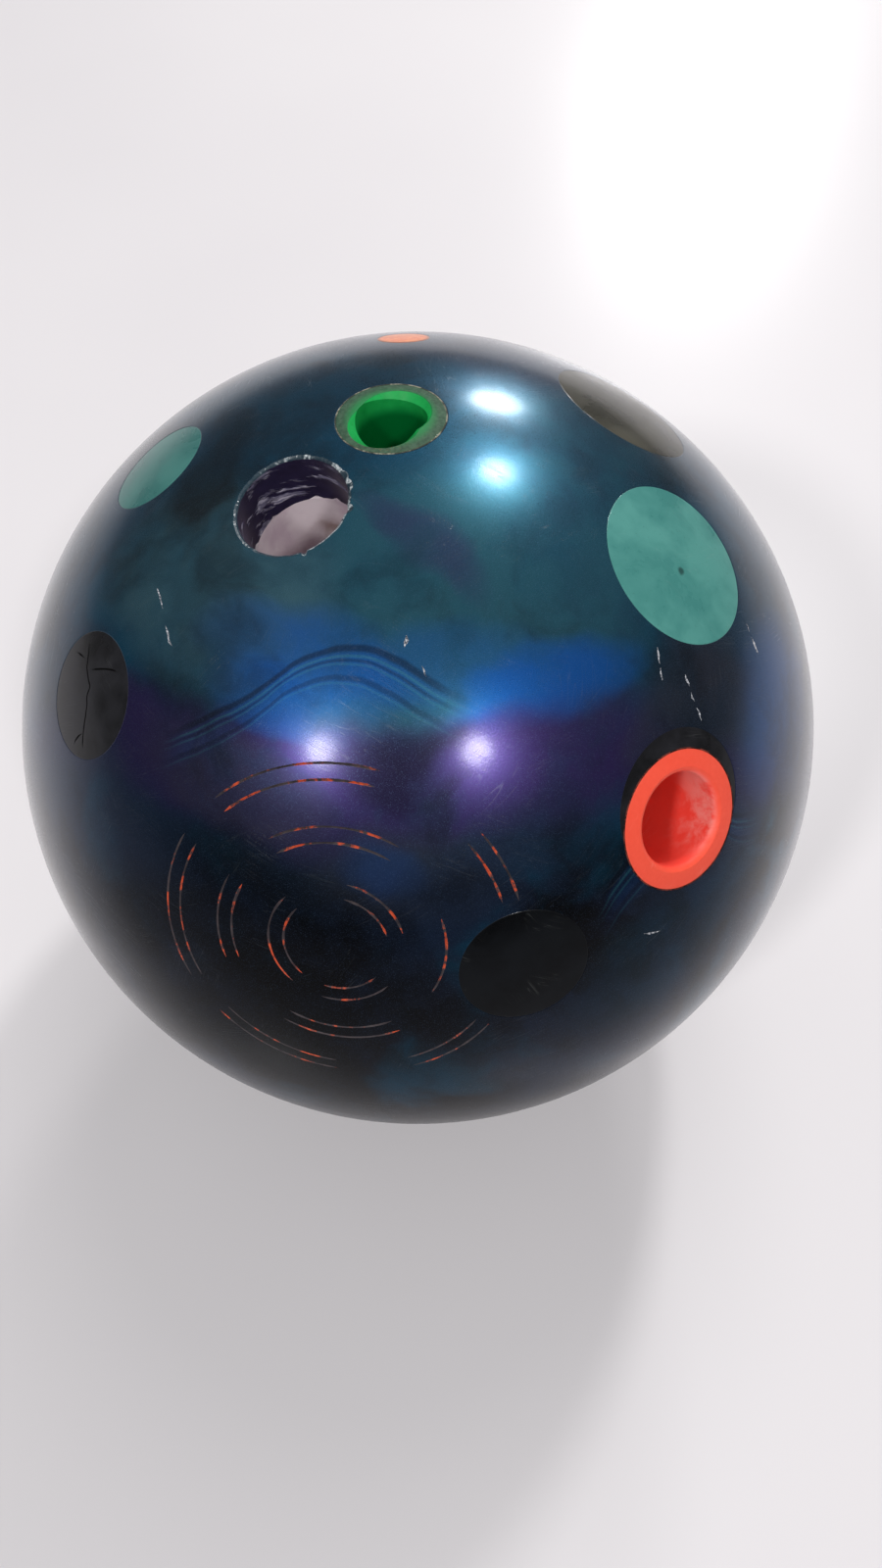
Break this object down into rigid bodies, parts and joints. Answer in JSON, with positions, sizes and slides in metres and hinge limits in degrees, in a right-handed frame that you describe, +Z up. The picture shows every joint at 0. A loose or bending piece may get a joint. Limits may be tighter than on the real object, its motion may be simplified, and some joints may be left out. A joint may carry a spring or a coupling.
{
  "type": "bowling ball",
  "caption": "Bowling ball with a pearl cover, old holes plugged with resin, an open finger hole, a soft finger insert and a thumb slug.",
  "frame": {"origin": "centre of the ball", "axes": "+Z up as the ball lies, finger holes on top; -Y is the front, where the thumb slug is low on the right; +X is right seen from the front"},
  "size_m": [0.2158, 0.2158, 0.216],
  "materials": {
    "pearl_cover": "polished pearl resin, blue-teal with purple and near-black swirls, scuffed",
    "core_filler": "matte pale mauve filler",
    "block_resin": "matte dense filled resin",
    "pin_orange": "polished orange resin",
    "teal_resin": "polished teal resin",
    "black_resin": "polished black resin, crazed",
    "dark_resin": "polished near-black resin",
    "olive_resin": "polished dark olive-brown resin",
    "insert_rubber": "soft green insert, ground face dulled",
    "glue": "yellowed clear glue, rough at the surface",
    "slug_urethane": "satin orange-red urethane, worn smooth at the lip"
  },
  "bodies": {
    "root": {"coverstock": "pearl_cover", "outer_core": "core_filler", "weight_block": "block_resin", "locator_pin": "pin_orange", "teal_plug_large": "teal_resin", "teal_plug_small": "teal_resin", "black_plug_cracked": "black_resin", "black_plug_front": "dark_resin", "olive_plug": "olive_resin", "black_thumb_plug": "black_resin", "finger_insert": "insert_rubber", "finger_insert_glue": "glue", "thumb_slug": "slug_urethane", "thumb_slug_glue": "glue"}
  },
  "joints": []
}
